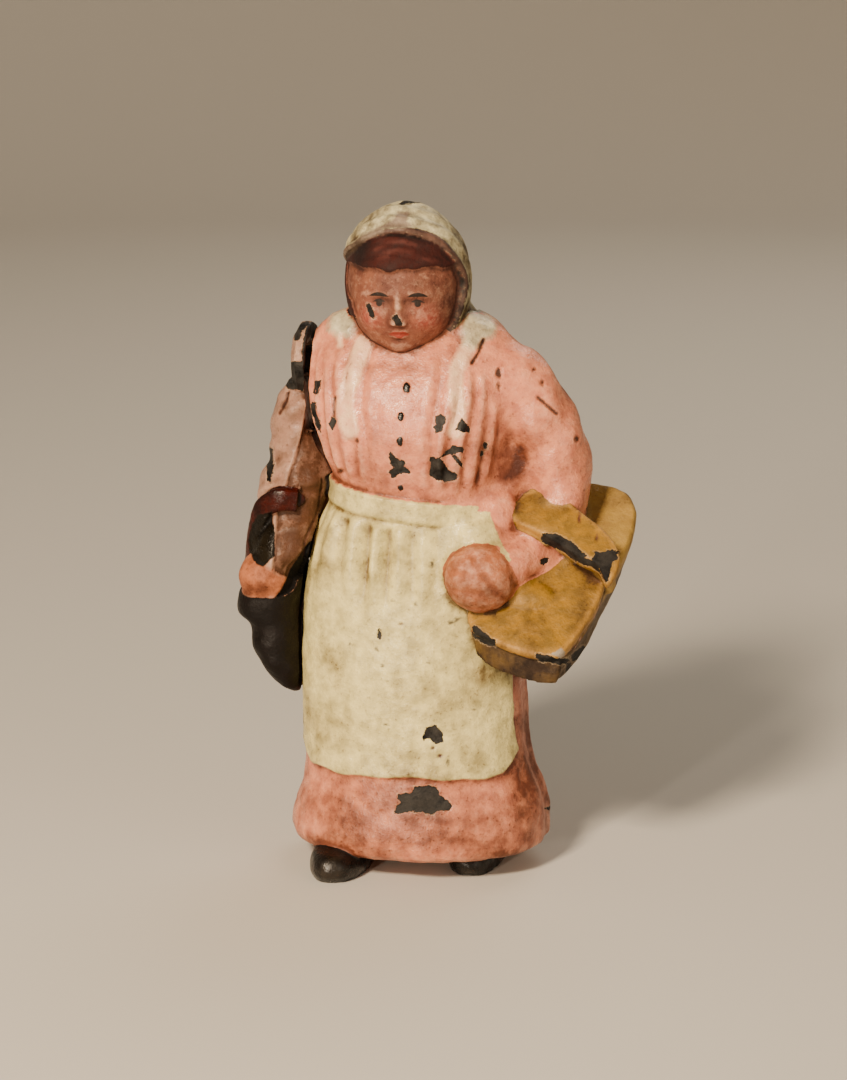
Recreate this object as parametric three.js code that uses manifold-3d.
// A painted lead figure of a countrywoman, 54 mm tall, in kerchief, pleated bodice and long apron.
// Her left arm is cast with the body and carries a basket with two lids. Her right arm is a casting
// of its own: it hangs by its round disc on a lug at the shoulder, and carries a bag.
// Millimetres. She faces -Y, +X is her left, +Z is up, and the shoe soles stand at z = 0.

import * as THREE from 'three';
import { mergeVertices } from 'three/addons/utils/BufferGeometryUtils.js';
import Module from 'manifold-3d';

const wasm = await Module();
wasm.setup();

const DEG = Math.PI / 180;
const CLEARANCE = 0.35;
const ROUND_SIDES = 20;
const SMALL_SIDES = 10;
const BALL_SIDES = 16;

// Skirt and trunk: at each height, how far they reach to her right and left, and to front and back.
const TRUNK = [
  { z: 1.7, right: 9.2, left: 9.9, front: 7.6, back: 7.3 },
  { z: 2.1, right: 9.8, left: 10.6, front: 8.1, back: 7.8 },
  { z: 3.3, right: 10.0, left: 10.7, front: 8.3, back: 8.0 },
  { z: 4.8, right: 9.6, left: 10.6, front: 8.1, back: 7.9 },
  { z: 6.4, right: 9.1, left: 10.2, front: 7.7, back: 7.5 },
  { z: 8.0, right: 8.9, left: 9.5, front: 7.3, back: 7.1 },
  { z: 10.0, right: 8.95, left: 9.0, front: 7.0, back: 6.9 },
  { z: 14.0, right: 9.0, left: 8.8, front: 6.9, back: 6.8 },
  { z: 18.0, right: 8.95, left: 8.6, front: 6.8, back: 6.5 },
  { z: 22.0, right: 8.6, left: 8.2, front: 6.5, back: 6.2 },
  { z: 26.0, right: 7.8, left: 7.6, front: 6.0, back: 5.7 },
  { z: 29.7, right: 6.35, left: 6.9, front: 5.4, back: 5.0 },
  { z: 33.0, right: 7.3, left: 7.5, front: 6.2, back: 5.2 },
  { z: 36.0, right: 8.2, left: 8.0, front: 6.7, back: 5.7 },
  { z: 39.0, right: 8.6, left: 8.3, front: 6.1, back: 6.1 },
  { z: 41.5, right: 8.5, left: 7.9, front: 5.0, back: 5.9 },
  { z: 43.4, right: 7.6, left: 7.0, front: 3.9, back: 5.1 },
  { z: 44.6, right: 5.5, left: 4.5, front: 3.0, back: 4.2 },
  { z: 45.4, right: 3.0, left: 3.0, front: 2.4, back: 3.2 },
];
const TRUNK_LEVELS = [
  1.7, 2.1, 3.1, 4.4, 6.0, 7.4, 8.35, 8.75, 10.5, 13.5, 17, 20.5, 24, 27, 28.65, 28.95, 30.45, 30.8,
  32, 33.5, 35, 36.5, 38, 39.5, 41, 42.3, 43.4, 44.4, 45.4,
];
const TRUNK_SIDES = 54;
const FRONT_DENSITY = 0.38;
const TRUNK_SQUARENESS = 2.25;

// The waist sits lower on her left: each ring near its height is tipped by this much at her side.
const WAIST = { z: 29.6, tip: 0.8, reach: 4.5 };

// Apron, waistband, and the pleats and folds of the dress. Pleats and gathers fade out over the
// outer fifth of their spread. A raised edge slopes over twice EDGE.
const EDGE = 0.15;
const FADE_FROM = 0.8;
const APRON = {
  bottom: 8.55, top: 28.8, edgeAngle: 98 * DEG, edgeBlur: 3 * DEG, thickness: 0.3,
  cornerRise: 1.6, cornerAngle: 20 * DEG,
};
const WAISTBAND = { bottom: 28.8, top: 30.6, thickness: 0.34 };
const PLEATS = { bottom: 31, top: 42, halfAngle: 62 * DEG, count: 11, depth: 0.16, fade: 2.5 };
const GATHERS = { pitchAngle: 11 * DEG, depth: 0.12, length: 9, halfAngle: 90 * DEG };
const SKIRT_FOLDS = { count: 9, depth: 0.22, bottom: 6, top: 26, from: 60 * DEG, full: 120 * DEG };

// Head, kerchief and hair.
const HEAD = {
  centre: [-0.4, -0.9, 47.15], yaw: 5 * DEG, nod: -4 * DEG,
  halfWidth: 4.5, front: 4.9, back: 4.7, up: 5.55, down: 5.5,
};
const HEAD_SIDES = 36;
const HEAD_LEVELS = 24;
const KERCHIEF = { thickness: 0.62, sideLine: -0.9, crownReach: 2.8, crownHeight: 3.6, arch: 1.3 };
const HAIR = { line: 0.9, thickness: 0.28, waves: 9, waveDepth: 0.1 };
const NOSE = { side: 0, height: -2.2, width: 0.62, length: 0.95, depth: 0.48 };
const CHIN = { side: 0, height: -4.5, width: 1.4, length: 0.9, depth: 0.2 };
const CHEEK = { side: 2.1, height: -2.4, width: 1.3, length: 1.2, depth: 0.22 };
const EYE_HOLLOW = { side: 1.55, height: -0.9, width: 0.8, length: 0.5, depth: -0.2 };

// The kerchief's curtain, which lies round the back of the neck on the shoulders.
const CURTAIN = [
  { z: 41.7, right: 6.2, left: 6.0, front: 1.6, back: 5.6 },
  { z: 42.4, right: 6.6, left: 6.5, front: 2.0, back: 6.2 },
  { z: 43.2, right: 6.4, left: 6.2, front: 2.2, back: 6.1 },
  { z: 44.2, right: 5.3, left: 4.9, front: 2.2, back: 5.3 },
  { z: 45.4, right: 4.5, left: 4.0, front: 2.0, back: 4.7 },
];
const CURTAIN_Y = 0.4;
const CURTAIN_SIDES = 28;
const CURTAIN_GATHERS = { count: 14, depth: 0.15, top: 46, bottom: 43 };

// Her left arm, from inside the shoulder round the elbow to the wrist, and its fist.
const LEFT_ARM = [
  { at: [4.6, 0.2, 40.4], radius: 2.9 },
  { at: [7.4, 0.3, 39.1], radius: 3.05 },
  { at: [9.8, 0.4, 36.4], radius: 3.0 },
  { at: [11.1, 0.4, 33.0], radius: 2.8 },
  { at: [11.4, 0.2, 30.0], radius: 2.6 },
  { at: [11.0, -1.8, 26.9], radius: 2.3 },
  { at: [9.1, -4.2, 25.2], radius: 2.2 },
  { at: [7.0, -5.6, 24.8], radius: 2.1 },
];
const LEFT_FIST = { at: [6.15, -6.0, 24.6], radii: [2.55, 2.1, 2.6] };
const LEFT_ARM_GRID = { steps: 15, sides: 20, depth: 1 };
const ARMPIT_WEB = { at: [8.3, 0.4, 33.4], radii: [2.3, 2.2, 4.2] };
const SLEEVE_FOLDS = { count: 5, depth: 0.2 };

// Basket: a slab that slopes down to the front, with two lids on it. Its outlines are in its own
// plane: across to her left, then down the slope, from a middle point.
// The layers of a plate are a height over that plane and a scale about its own middle.
const BASKET = { centre: [11.3, -5.5, 21.9], slope: 42 * DEG, slide: 0.11 };
const BASKET_OUTLINE = [
  [-5.7, 1.2], [-3.6, 3.2], [-0.6, 4.3], [1.3, 4.5], [2.2, 3.5], [3.5, 0.6], [4.7, -3.5],
  [5.9, -8.0], [5.9, -10.6], [4.8, -12.2], [1.5, -12.8], [-2.5, -12.2], [-4.6, -9.6], [-5.6, -4.0],
];
const FRONT_LID = [
  [-5.9, 0.4], [-5.2, 1.9], [-2.4, 3.2], [-0.2, 3.9], [1.4, 3.9], [2.5, 2.7], [3.6, 0.4],
  [4.3, -2.4], [4.3, -3.7], [2.6, -4.8], [0.6, -4.6], [-1.2, -2.9], [-3.2, -1.6], [-5.0, -1.3],
];
const REAR_LID = [
  [-3.4, -7.0], [-0.7, -5.4], [2.5, -3.6], [5.1, -2.0], [5.9, -3.9], [4.8, -6.0],
  [3.1, -8.1], [1.2, -9.8], [-1.2, -10.4], [-3.0, -9.2],
];
const REAR_RISER = [
  [-2.6, -9.2], [0.4, -7.6], [3.2, -5.6], [4.9, -3.6], [5.6, -5.2], [4.6, -7.6], [2.6, -10.0],
  [-0.4, -11.0],
];
const BASKET_LAYERS = [[-5.4, 0.6], [-4.5, 0.78], [-2.7, 0.9], [-0.4, 1], [0, 0.97]];
const LID_LAYERS = [[-1, 0.94], [0.1, 1], [0.45, 0.95], [0.85, 0.66], [1.1, 0.25]];
const REAR_LID_LIFT = 2.9;

// Shoes: middle line, toe, heel, half width and height of the upper, and the upper's layers as
// shares of its height and outline.
const SHOE_LAYERS = [[0, 0.93], [0.25, 1], [0.55, 0.99], [0.8, 0.88], [1, 0.62]];
const SHOE_BALL = 0.6;
const ROUNDED = 0.85;
const BOXY = 0.6;
const SHOES = [
  { x: -5.1, toe: -9.6, heel: 3.6, halfWidth: 2.45, height: 2.6 },
  { x: 5.2, toe: -5.5, heel: 5.2, halfWidth: 2.2, height: 2.3 },
];

// Right shoulder: the lug on the body and the disc of the arm that hangs on it.
const SHOULDER = { y: 0.4, z: 40.35 };
const BODY_FLAT_X = -8.2;
const SHOULDER_BLOCK = { depth: 6, width: 14, height: 13, above: 1 };
const LUG = { root: -6, radius: 1.15, end: 0.25 };
const DISC = { inner: -8.5, rim: -9.3, face: -9.85, radius: 2.95, rounding: 0.9 };

// Her right arm below the disc, the fist, the handle over the forearm and the bag.
const RIGHT_ARM_GRID = { steps: 12, sides: 16, depth: 1.25 };
const RIGHT_ARM = [
  { at: [-9.25, 0.5, 38.6], radius: 1.5 },
  { at: [-9.5, 0.6, 36.2], radius: 2.1 },
  { at: [-9.5, 0.7, 33.0], radius: 2.6 },
  { at: [-9.8, 0.4, 29.8], radius: 2.95 },
  { at: [-10.1, -0.9, 27.0], radius: 2.75 },
  { at: [-10.6, -2.2, 24.8], radius: 2.4 },
];
const RIGHT_FIST = { at: [-11.4, -3.0, 22.9], radii: [2.45, 2.3, 2.3] };
const BAG = [
  { z: 22.5, x: -11.8, halfWidth: 1.8, halfDepth: 3.2 },
  { z: 22.0, x: -11.8, halfWidth: 2.4, halfDepth: 3.9 },
  { z: 20.4, x: -11.7, halfWidth: 2.6, halfDepth: 4.2 },
  { z: 19.4, x: -11.0, halfWidth: 2.2, halfDepth: 4.0 },
  { z: 17.4, x: -10.8, halfWidth: 2.1, halfDepth: 4.2 },
  { z: 15.8, x: -10.2, halfWidth: 1.8, halfDepth: 3.7 },
  { z: 14.5, x: -9.7, halfWidth: 1.2, halfDepth: 2.8 },
  { z: 13.8, x: -9.4, halfWidth: 0.5, halfDepth: 1.6 },
];
const BAG_Y = -0.9;
const HANDLE = {
  width: 1.8, thickness: 0.9, around: [-10.0, 0], steps: 14,
  route: [[-12.9, -1.4, 21.2], [-12.9, -2.2, 24.0], [-12.4, -2.7, 27.0], [-11.6, -3.2, 28.9],
    [-10.3, -3.6, 29.7], [-8.9, -3.3, 29.6]],
};

const smooth = (from, to, value) => THREE.MathUtils.smoothstep(value, from, to);
const power = (value, exponent) => Math.sign(value) * Math.abs(value) ** exponent;

// Value of one column of a station table at height z, by a cubic through the stations.
function between(stations, key, z) {
  const last = stations.length - 1;
  let i = stations.findIndex((station, index) => index < last && z <= stations[index + 1].z);
  i = i < 0 ? last - 1 : i;
  const slope = (a, b) => (stations[b][key] - stations[a][key]) / (stations[b].z - stations[a].z);
  const span = stations[i + 1].z - stations[i].z;
  const t = (z - stations[i].z) / span;
  const startSlope = slope(Math.max(i - 1, 0), i + 1) * span;
  const endSlope = slope(i, Math.min(i + 2, last)) * span;
  return (2 * t ** 3 - 3 * t ** 2 + 1) * stations[i][key] + (t ** 3 - 2 * t ** 2 + t) * startSlope
    + (3 * t ** 2 - 2 * t ** 3) * stations[i + 1][key] + (t ** 3 - t ** 2) * endSlope;
}

// Closed skin over a row of rings with equal numbers of points, each end closed by a fan.
function loft(rings) {
  const sides = rings[0].length;
  const points = rings.flat();
  const triangles = [];
  for (let ring = 0; ring < rings.length - 1; ring++) {
    for (let side = 0; side < sides; side++) {
      const next = (side + 1) % sides;
      const [a, b] = [ring * sides + side, ring * sides + next];
      triangles.push(a, b, b + sides, a, b + sides, a + sides);
    }
  }
  const middle = (ring) => ring.reduce((sum, p) => sum.add(p), new THREE.Vector3())
    .divideScalar(sides);
  const top = (rings.length - 1) * sides;
  points.push(middle(rings[0]), middle(rings[rings.length - 1]));
  for (let side = 0; side < sides; side++) {
    const next = (side + 1) % sides;
    triangles.push(points.length - 2, next, side, points.length - 1, top + side, top + next);
  }
  const geometry = new THREE.BufferGeometry().setFromPoints(points);
  geometry.setIndex(triangles);
  return geometry;
}

// Manifold solid of a closed geometry, turned so that its faces point out.
function solid(geometry) {
  geometry.deleteAttribute('normal');
  geometry.deleteAttribute('uv');
  const merged = mergeVertices(geometry);
  const vertProperties = new Float32Array(merged.attributes.position.array);
  const triVerts = new Uint32Array(merged.index.array);
  const corner = (i) => new THREE.Vector3().fromArray(vertProperties, 3 * triVerts[i]);
  let volume = 0;
  for (let i = 0; i < triVerts.length; i += 3) {
    volume += corner(i).dot(corner(i + 1).cross(corner(i + 2)));
  }
  if (volume < 0) {
    for (let i = 0; i < triVerts.length; i += 3) {
      [triVerts[i], triVerts[i + 1]] = [triVerts[i + 1], triVerts[i]];
    }
  }
  return new wasm.Manifold(new wasm.Mesh({ numProp: 3, vertProperties, triVerts }));
}

const join = (solids) => solids.reduce((whole, next) => whole.add(next));

function meshOf(name, manifold, material) {
  const { vertProperties, triVerts } = manifold.getMesh();
  const geometry = new THREE.BufferGeometry();
  geometry.setAttribute('position', new THREE.BufferAttribute(vertProperties, 3));
  geometry.setIndex(new THREE.BufferAttribute(triVerts, 1));
  geometry.computeVertexNormals();
  const mesh = new THREE.Mesh(geometry, material);
  mesh.name = name;
  return mesh;
}

// Share of 1 inside a range, falling to 0 past each end over the blur.
const within = (low, high, blur, value) => smooth(low - blur, low + blur, value)
  * (1 - smooth(high - blur, high + blur, value));

// Carving of the dress at a height and an angle from the front: apron, band, pleats and folds.
function dressRelief(z, angle) {
  const aside = Math.abs(angle);
  const corner = smooth(APRON.edgeAngle - APRON.cornerAngle, APRON.edgeAngle, aside);
  const apron = APRON.thickness
    * within(APRON.bottom + corner * APRON.cornerRise, APRON.top, EDGE, z)
    * within(-APRON.edgeAngle, APRON.edgeAngle, APRON.edgeBlur, angle);
  const band = WAISTBAND.thickness * within(WAISTBAND.bottom, WAISTBAND.top, EDGE, z);
  const pleats = PLEATS.depth * Math.cos(Math.PI * PLEATS.count * angle / PLEATS.halfAngle)
    * smooth(PLEATS.bottom, PLEATS.bottom + PLEATS.fade, z)
    * (1 - smooth(PLEATS.top - PLEATS.fade, PLEATS.top, z))
    * (1 - smooth(FADE_FROM * PLEATS.halfAngle, PLEATS.halfAngle, aside));
  const gathers = GATHERS.depth * Math.cos(2 * Math.PI * angle / GATHERS.pitchAngle)
    * smooth(APRON.top - GATHERS.length, APRON.top, z) * (z < APRON.top)
    * (1 - smooth(FADE_FROM * GATHERS.halfAngle, GATHERS.halfAngle, aside));
  const folds = SKIRT_FOLDS.depth * Math.cos(2 * SKIRT_FOLDS.count * angle)
    * smooth(SKIRT_FOLDS.from, SKIRT_FOLDS.full, aside)
    * (1 - smooth(SKIRT_FOLDS.bottom, SKIRT_FOLDS.top, z));
  return apron + band + pleats + gathers + folds;
}

// Ring of a standing form at height z: an oval with its own reach to each of the four sides.
function ovalRing(stations, z, centreY, sides, options) {
  const { squareness = 2, density = 0, relief = () => 0 } = options;
  const reach = Object.fromEntries(['right', 'left', 'front', 'back']
    .map((key) => [key, between(stations, key, z)]));
  const tip = WAIST.tip * Math.exp(-(((z - WAIST.z) / WAIST.reach) ** 2));
  return Array.from({ length: sides }, (_, i) => {
    const even = 2 * Math.PI * i / sides - Math.PI;
    const angle = even - density * Math.sin(even);
    const x = (angle > 0 ? reach.left : reach.right) * power(Math.sin(angle), 2 / squareness);
    const depth = Math.abs(angle) < Math.PI / 2 ? reach.front : reach.back;
    const y = -depth * power(Math.cos(angle), 2 / squareness);
    const stretch = 1 + relief(z, angle) / Math.hypot(x, y);
    return new THREE.Vector3(x * stretch, centreY + y * stretch, z - tip * Math.sin(angle));
  });
}

const trunk = (growth) => loft(TRUNK_LEVELS.map((z) => ovalRing(TRUNK, z, 0, TRUNK_SIDES, {
  squareness: TRUNK_SQUARENESS,
  density: FRONT_DENSITY,
  relief: (height, angle) => dressRelief(height, angle) + growth,
})));

const curtain = () => loft(CURTAIN.map(({ z }) => ovalRing(CURTAIN, z, CURTAIN_Y, CURTAIN_SIDES, {
  relief: (height, angle) => CURTAIN_GATHERS.depth * Math.cos(CURTAIN_GATHERS.count * angle)
    * (1 - smooth(CURTAIN_GATHERS.bottom, CURTAIN_GATHERS.top, height)),
})));

// Soft bump on the face, the same on both sides, centred at a place across and up the face.
function bump({ side, height, width, length, depth }, x, z) {
  const across = (Math.abs(x) - side) / width;
  return depth * Math.exp(-(across ** 2) - ((z - height) / length) ** 2);
}

// Distance from the middle of the head to its surface, in one direction.
function headReach(direction) {
  const { x, y, z } = direction;
  const depth = y < 0 ? HEAD.front : HEAD.back;
  const height = z > 0 ? HEAD.up : HEAD.down;
  const reach = 1 / Math.hypot(x / HEAD.halfWidth, y / depth, z / height);
  const [px, py, pz] = [x * reach, y * reach, z * reach];
  const rim = KERCHIEF.sideLine
    - KERCHIEF.crownReach * (Math.max(pz, 0) / KERCHIEF.crownHeight) ** KERCHIEF.arch;
  const covered = smooth(rim - EDGE, rim + EDGE, py);
  const hair = (1 - covered) * smooth(HAIR.line - EDGE, HAIR.line + EDGE, pz);
  const face = y < 0 ? bump(NOSE, px, pz) + bump(CHIN, px, pz) + bump(CHEEK, px, pz)
    + bump(EYE_HOLLOW, px, pz) : 0;
  const waves = HAIR.waveDepth * Math.cos(2 * HAIR.waves * Math.atan2(px, pz));
  return reach + KERCHIEF.thickness * covered + (HAIR.thickness + waves) * hair
    + face * (1 - covered) * (1 - hair);
}

function head() {
  const turn = new THREE.Matrix4().makeRotationZ(HEAD.yaw)
    .multiply(new THREE.Matrix4().makeRotationX(HEAD.nod));
  const centre = new THREE.Vector3(...HEAD.centre);
  const rings = [];
  for (let level = 0; level < HEAD_LEVELS; level++) {
    const tilt = Math.PI * (level + 0.5) / HEAD_LEVELS;
    rings.push(Array.from({ length: HEAD_SIDES }, (_, i) => {
      const even = 2 * Math.PI * i / HEAD_SIDES - Math.PI;
      const angle = even - FRONT_DENSITY * Math.sin(even);
      const direction = new THREE.Vector3(Math.sin(tilt) * Math.sin(angle),
        -Math.sin(tilt) * Math.cos(angle), -Math.cos(tilt));
      return direction.multiplyScalar(headReach(direction)).applyMatrix4(turn).add(centre);
    }));
  }
  return loft(rings);
}

// Sleeved limb along a smooth curve through its stations, with folds winding round it. Its depth
// from front to back may be more than its width.
function limb(stations, { steps, sides, depth }) {
  const curve = new THREE.CatmullRomCurve3(stations.map(({ at }) => new THREE.Vector3(...at)));
  const frames = curve.computeFrenetFrames(steps, false);
  const rings = [];
  for (let step = 0; step <= steps; step++) {
    const place = step / steps;
    const station = curve.getUtoTmapping(place) * (stations.length - 1);
    const before = Math.min(Math.floor(station), stations.length - 2);
    const share = smooth(0, 1, station - before);
    const radius = stations[before].radius * (1 - share) + stations[before + 1].radius * share;
    const middle = curve.getPointAt(place);
    rings.push(Array.from({ length: sides }, (_, i) => {
      const angle = 2 * Math.PI * i / sides;
      const fold = SLEEVE_FOLDS.depth * Math.sin(SLEEVE_FOLDS.count * Math.PI * place + angle);
      const offset = new THREE.Vector3()
        .addScaledVector(frames.normals[step], (radius + fold) * Math.cos(angle))
        .addScaledVector(frames.binormals[step], (radius + fold) * Math.sin(angle));
      offset.y *= depth;
      return offset.add(middle);
    }));
  }
  return loft(rings);
}

function ball({ at, radii }) {
  return new THREE.SphereGeometry(1, BALL_SIDES, SMALL_SIDES).scale(...radii).translate(...at);
}

// Plate on the basket's sloping plane: a smooth outline, stacked in layers, which may slide
// down the slope as they go deeper.
function plate(outline, layers, slide = 0) {
  const across = new THREE.Vector3(1, 0, 0);
  const down = new THREE.Vector3(0, -Math.cos(BASKET.slope), -Math.sin(BASKET.slope));
  const up = new THREE.Vector3(0, -Math.sin(BASKET.slope), Math.cos(BASKET.slope));
  const flat = outline.map(([a, b]) => new THREE.Vector3(a, b, 0));
  const rim = new THREE.CatmullRomCurve3(flat, true, 'centripetal').getPoints(2 * outline.length)
    .slice(0, -1);
  const middle = rim.reduce((sum, p) => sum.add(p), new THREE.Vector3()).divideScalar(rim.length);
  return loft(layers.map(([height, scale]) => rim.map((p) => {
    const flatPoint = middle.clone().lerp(p, scale);
    return new THREE.Vector3(...BASKET.centre)
      .addScaledVector(across, flatPoint.x)
      .addScaledVector(down, flatPoint.y + slide * Math.max(-height, 0))
      .addScaledVector(up, height);
  })));
}

function basket() {
  const raised = LID_LAYERS.map(([height, scale]) => [height + REAR_LID_LIFT, scale]);
  return [
    plate(BASKET_OUTLINE, BASKET_LAYERS, BASKET.slide),
    plate(FRONT_LID, LID_LAYERS),
    plate(REAR_RISER, [[-1, 1], [REAR_LID_LIFT, 0.94]]),
    plate(REAR_LID, raised),
  ].map(solid);
}

// Shoe standing on a flat sole, longer in front than behind, closing up under the skirt.
function shoe({ x, toe, heel, halfWidth, height }) {
  const middle = (toe + heel) / 2 + SHOE_BALL;
  return loft(SHOE_LAYERS.map(([level, scale]) => Array.from({ length: ROUND_SIDES }, (_, i) => {
    const angle = 2 * Math.PI * i / ROUND_SIDES;
    const reach = Math.sin(angle) < 0 ? middle - toe : heel - middle;
    return new THREE.Vector3(x + halfWidth * scale * power(Math.cos(angle), ROUNDED),
      middle + reach * scale * power(Math.sin(angle), ROUNDED), level * height);
  })));
}

// Solid of turning about the shoulder's axis, from a profile of x and radius.
function turned(profile) {
  const points = profile.map(([x, radius]) => new THREE.Vector2(radius, x));
  return new THREE.LatheGeometry(points, ROUND_SIDES)
    .rotateZ(-Math.PI / 2)
    .translate(0, SHOULDER.y, SHOULDER.z);
}

// Block at the right shoulder that reaches from a plane across x towards or away from the body.
function shoulderBlock(x, direction) {
  const { depth, width, height, above } = SHOULDER_BLOCK;
  return new THREE.BoxGeometry(depth, width, height)
    .translate(x + direction * depth / 2, SHOULDER.y, SHOULDER.z + above);
}

function figure() {
  const body = solid(trunk(0)).subtract(solid(shoulderBlock(BODY_FLAT_X, -1)));
  const lug = turned([[LUG.root, 0], [LUG.root, LUG.radius], [DISC.face + LUG.end, LUG.radius],
    [DISC.face, 0]]);
  const forms = [lug, curtain(), head(), ball(ARMPIT_WEB), ball(LEFT_FIST),
    limb(LEFT_ARM, LEFT_ARM_GRID), ...SHOES.map(shoe)];
  return join([body, ...forms.map(solid), ...basket()]);
}

function bag() {
  const points = Array.from({ length: ROUND_SIDES }, (_, i) => 2 * Math.PI * i / ROUND_SIDES);
  return loft(BAG.map(({ z, x, halfWidth, halfDepth }) => points.map((angle) => new THREE.Vector3(
    x + halfWidth * power(Math.cos(angle), ROUNDED),
    BAG_Y + halfDepth * power(Math.sin(angle), ROUNDED),
    z,
  ))));
}

// Flat strap handle: up from the bag on the outer side, then over the forearm across its front.
function handle() {
  const curve = new THREE.CatmullRomCurve3(HANDLE.route.map((at) => new THREE.Vector3(...at)));
  const rings = curve.getSpacedPoints(HANDLE.steps).map((middle, step) => {
    const out = new THREE.Vector3(middle.x - HANDLE.around[0], middle.y - HANDLE.around[1], 0);
    const along = curve.getTangentAt(step / HANDLE.steps);
    out.addScaledVector(along, -out.dot(along)).normalize();
    const across = along.clone().cross(out);
    return Array.from({ length: SMALL_SIDES }, (_, i) => {
      const angle = 2 * Math.PI * i / SMALL_SIDES;
      return middle.clone()
        .addScaledVector(out, HANDLE.thickness / 2 * power(Math.cos(angle), BOXY))
        .addScaledVector(across, HANDLE.width / 2 * power(Math.sin(angle), BOXY));
    });
  });
  return loft(rings);
}

function rightArm() {
  const hole = LUG.radius + CLEARANCE;
  const ring = turned([[DISC.inner, hole], [DISC.inner, DISC.radius], [DISC.rim, DISC.radius],
    [DISC.face, DISC.radius - DISC.rounding], [DISC.face, hole], [DISC.inner, hole]]);
  const lugSpace = turned([[LUG.root, 0], [LUG.root, hole], [2 * LUG.root, hole], [2 * LUG.root, 0]]);
  const forms = [ring, limb(RIGHT_ARM, RIGHT_ARM_GRID), ball(RIGHT_FIST), handle(), bag()];
  return join(forms.map(solid))
    .subtract(solid(lugSpace))
    .subtract(solid(shoulderBlock(DISC.inner, 1)))
    .subtract(solid(trunk(CLEARANCE)));
}

const paintedDress = new THREE.MeshStandardMaterial({ color: 0xd79a82, roughness: 0.45, metalness: 0 });
const paintedSleeve = new THREE.MeshStandardMaterial({ color: 0xcf9580, roughness: 0.45, metalness: 0 });

const group = new THREE.Group();
group.add(meshOf('figure', figure(), paintedDress));
group.add(meshOf('right_arm', rightArm(), paintedSleeve));

// The origin is the middle of the underside of the box round both castings.
const box = new THREE.Box3().setFromObject(group);
const middle = box.getCenter(new THREE.Vector3());
group.position.set(-middle.x, -middle.y, -box.min.z);
group.updateMatrixWorld(true);

export default group;
